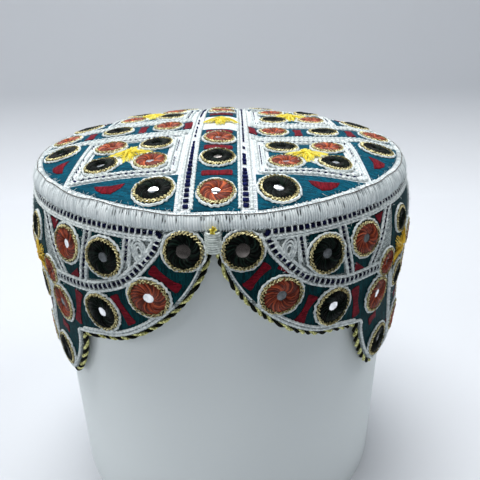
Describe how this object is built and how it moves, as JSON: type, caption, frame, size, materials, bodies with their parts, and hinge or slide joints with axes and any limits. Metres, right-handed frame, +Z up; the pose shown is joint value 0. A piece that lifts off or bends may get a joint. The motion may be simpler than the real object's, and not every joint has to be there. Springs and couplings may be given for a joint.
{
  "type": "sindhi cap on a cylindrical display stand",
  "caption": "Round embroidered cap with mirror medallions, a domed top and a notched front hem, set on a plain white cylindrical stand.",
  "frame": {"origin": "centre of the stand's base, at the middle of the object's footprint", "axes": "+Z up along the stand's axis, -Y towards the front of the cap with its forehead notch, +X towards the viewer's right"},
  "size_m": [0.1818, 0.183, 0.1842],
  "materials": {
    "crown_cloth": "cotton closely embroidered in teal silk",
    "band_cloth": "padded cotton closely embroidered in teal silk",
    "white_thread": "matt white cotton thread and cord",
    "navy_thread": "navy blue cotton thread",
    "red_thread": "crimson satin stitch",
    "orange_thread": "rust orange satin stitch",
    "dark_thread": "blackish green satin stitch",
    "gold_thread": "shiny gold metallic thread",
    "gold_black_piping": "piping of twisted yellow-green metallic and black yarn",
    "mirror_glass": "small silvered mirrors, bright and slightly uneven",
    "stand_card": "smooth matt white, plain"
  },
  "bodies": {
    "root": {"back_medallion_left": "dark_thread", "back_medallion_right": "dark_thread", "column_medallion_back_inner": "orange_thread", "column_medallion_back_middle": "dark_thread", "column_medallion_back_outer": "orange_thread", "column_medallion_front_inner": "orange_thread", "column_medallion_front_middle": "dark_thread", "column_medallion_front_outer": "orange_thread", "crossbar_medallion_left_inner": "orange_thread", "crossbar_medallion_left_middle": "dark_thread", "crossbar_medallion_left_outer": "orange_thread", "crossbar_medallion_right_inner": "orange_thread", "crossbar_medallion_right_middle": "dark_thread", "crossbar_medallion_right_outer": "orange_thread", "crown": "crown_cloth", "crown_flower_back_left": "gold_thread", "crown_flower_back_right": "gold_thread", "crown_flower_front_left": "gold_thread", "crown_flower_front_right": "gold_thread", "front_bar": "white_thread", "front_medallion_left": "dark_thread", "front_medallion_right": "dark_thread", "hem_piping": "gold_black_piping", "lobe_dark_medallion_left": "dark_thread", "lobe_dark_medallion_right": "dark_thread", "lobe_orange_medallion_left": "orange_thread", "lobe_orange_medallion_right": "orange_thread", "panel_dark_medallion_left": "dark_thread", "panel_dark_medallion_right": "dark_thread", "panel_orange_medallion_left": "orange_thread", "panel_orange_medallion_right": "orange_thread", "rim_medallion_1": "dark_thread", "rim_medallion_2": "dark_thread", "rim_medallion_3": "dark_thread", "rim_medallion_4": "dark_thread", "rim_medallion_5": "dark_thread", "rim_medallion_6": "dark_thread", "rim_medallion_7": "dark_thread", "rim_medallion_8": "dark_thread", "rim_roll": "white_thread", "side_band_left": "band_cloth", "side_band_right": "band_cloth", "side_flower_left": "gold_thread", "side_flower_right": "gold_thread", "stand": "stand_card", "upper_dark_medallion_left": "dark_thread", "upper_dark_medallion_right": "dark_thread", "upper_orange_medallion_left": "orange_thread", "upper_orange_medallion_right": "orange_thread"}
  },
  "joints": []
}
